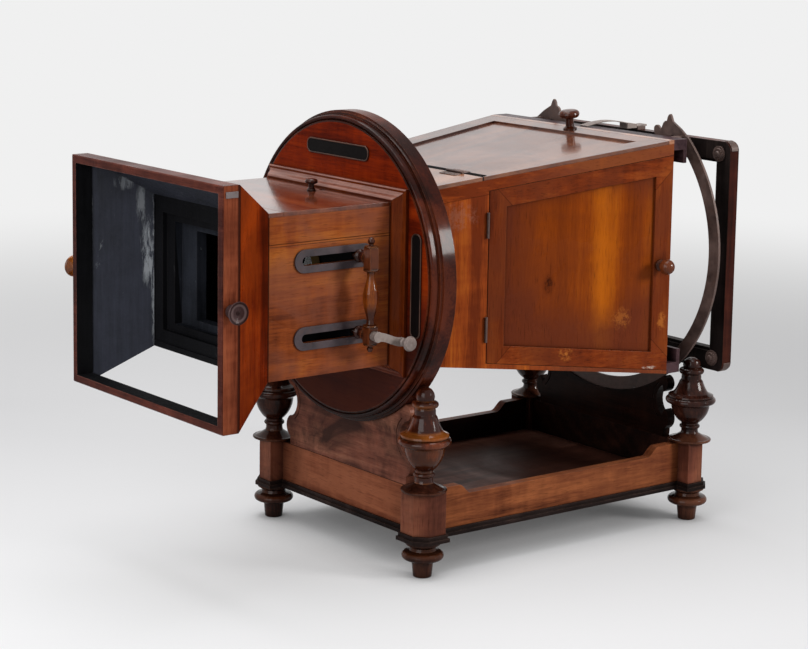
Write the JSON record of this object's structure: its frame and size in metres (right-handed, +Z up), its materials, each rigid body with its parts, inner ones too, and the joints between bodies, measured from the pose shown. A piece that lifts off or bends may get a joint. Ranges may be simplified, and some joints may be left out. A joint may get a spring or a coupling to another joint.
{
  "type": "magic lantern",
  "caption": "Tabletop picture viewer: hooded lens tube, turning disc and tapering wooden picture box on a four-post stand with turned finials.",
  "frame": {"origin": "on the floor, midway between the four posts of the stand", "axes": "+Z up, +Y from the hood towards the rear frame, +X towards the side with the focusing handle"},
  "size_m": [0.53, 1.0133, 0.7014],
  "materials": {
    "wood_case": "worn french polish",
    "wood_door": "french polish",
    "wood_top": "glossy french polish",
    "wood_disc": "french polish",
    "wood_moulding": "french polish",
    "wood_stand": "worn french polish",
    "wood_turned": "glossy french polish",
    "ebonised": "ebonised",
    "black_inside": "matt black stain",
    "black_plate": "black japan",
    "slot_metal": "japanned, worn",
    "dark_iron": "oiled dark iron",
    "grey_steel": "dull grey",
    "brass": "lacquered",
    "glass": "polished"
  },
  "bodies": {
    "stand": {"floor_board": "wood_stand", "plinth_moulding": "ebonised", "front_rail": "wood_stand", "rear_rail": "wood_stand", "left_rail": "wood_stand", "right_rail": "wood_stand", "corner_posts": "wood_stand", "post_caps": "wood_turned", "front_finials": "wood_turned", "rear_finials": "wood_turned", "feet": "wood_turned", "front_cradle": "wood_stand", "rear_cradle": "wood_stand"},
    "viewer": {"turning_disc": "wood_disc", "disc_rim": "wood_moulding", "root_moulding": "wood_moulding", "bare_plates": "black_plate", "tube_left": "wood_case", "tube_right": "wood_case", "tube_top": "wood_case", "tube_floor": "wood_case", "mouth_frame": "black_inside", "slot_plates": "slot_metal", "flare_left": "wood_disc", "flare_right": "wood_disc", "flare_top": "wood_disc", "box_left": "wood_case", "box_right": "wood_case", "box_floor": "wood_top", "box_top": "wood_top", "top_channel": "dark_iron", "bottom_channel": "dark_iron", "box_hinges": "dark_iron", "rear_hoop": "dark_iron", "hoop_standoffs": "dark_iron", "frame_rods": "dark_iron"},
    "hood": {"hood_frame": "wood_moulding", "hood_knobs": "wood_turned"},
    "tube_hatch": {"tube_lid": "wood_case", "tube_lid_knob": "wood_turned"},
    "top_lid": {"lid_frame": "wood_top", "lid_panel": "wood_top", "lid_knob": "wood_turned"},
    "right_door": {"right_door_frame": "wood_door", "right_door_panel": "wood_door", "right_door_knob": "wood_turned"},
    "left_door": {"left_door_frame": "wood_door", "left_door_panel": "wood_door", "left_door_knob": "wood_turned"},
    "carriage": {"lens_board": "black_inside", "lens_cell": "brass", "lens_glass": "glass", "carriage_arms": "wood_turned", "focus_handle": "wood_turned"},
    "crank": {"crank_lever": "grey_steel", "crank_knob": "grey_steel"},
    "rear_screen": {"rear_frame": "ebonised", "frame_irons": "dark_iron"},
    "strap": {"spring_strap": "grey_steel"}
  },
  "joints": [
    {"name": "viewer_turn", "type": "hinge", "parent": "stand", "child": "viewer", "pos_m": [0, 0, 0.455], "axis": [0, -1, 0], "range_deg": [0, 90]},
    {"name": "hood_pull", "type": "slide", "parent": "viewer", "child": "hood", "axis": [0, -1, 0], "range_m": [0, 0.03]},
    {"name": "tube_lid_hinge", "type": "hinge", "parent": "viewer", "child": "tube_hatch", "pos_m": [0, -0.522, 0.58], "axis": [1, 0, 0], "range_deg": [0, 100]},
    {"name": "top_lid_hinge", "type": "hinge", "parent": "viewer", "child": "top_lid", "pos_m": [0, -0.1532, 0.60795], "axis": [1, 0, 0], "range_deg": [0, 110]},
    {"name": "right_door_hinge", "type": "hinge", "parent": "viewer", "child": "right_door", "pos_m": [0.17227, -0.1427, 0.455], "axis": [0, 0, -1], "range_deg": [0, 110]},
    {"name": "left_door_hinge", "type": "hinge", "parent": "viewer", "child": "left_door", "pos_m": [-0.17227, -0.1427, 0.455], "axis": [0, 0, -1], "range_deg": [-110, 0]},
    {"name": "focus_slide", "type": "slide", "parent": "viewer", "child": "carriage", "axis": [0, 1, 0], "range_m": [-0.095, 0.007]},
    {"name": "crank_turn", "type": "hinge", "parent": "carriage", "child": "crank", "pos_m": [0.201, -0.386, 0.388], "axis": [1, 0, 0], "range_deg": [-60, 60]},
    {"name": "frame_pull", "type": "slide", "parent": "viewer", "child": "rear_screen", "axis": [0, 1, 0], "range_m": [0, 0.03]},
    {"name": "strap_lift", "type": "hinge", "parent": "viewer", "child": "strap", "pos_m": [0, 0.2097, 0.6478], "axis": [1, 0, 0], "range_deg": [0, 40]}
  ]
}
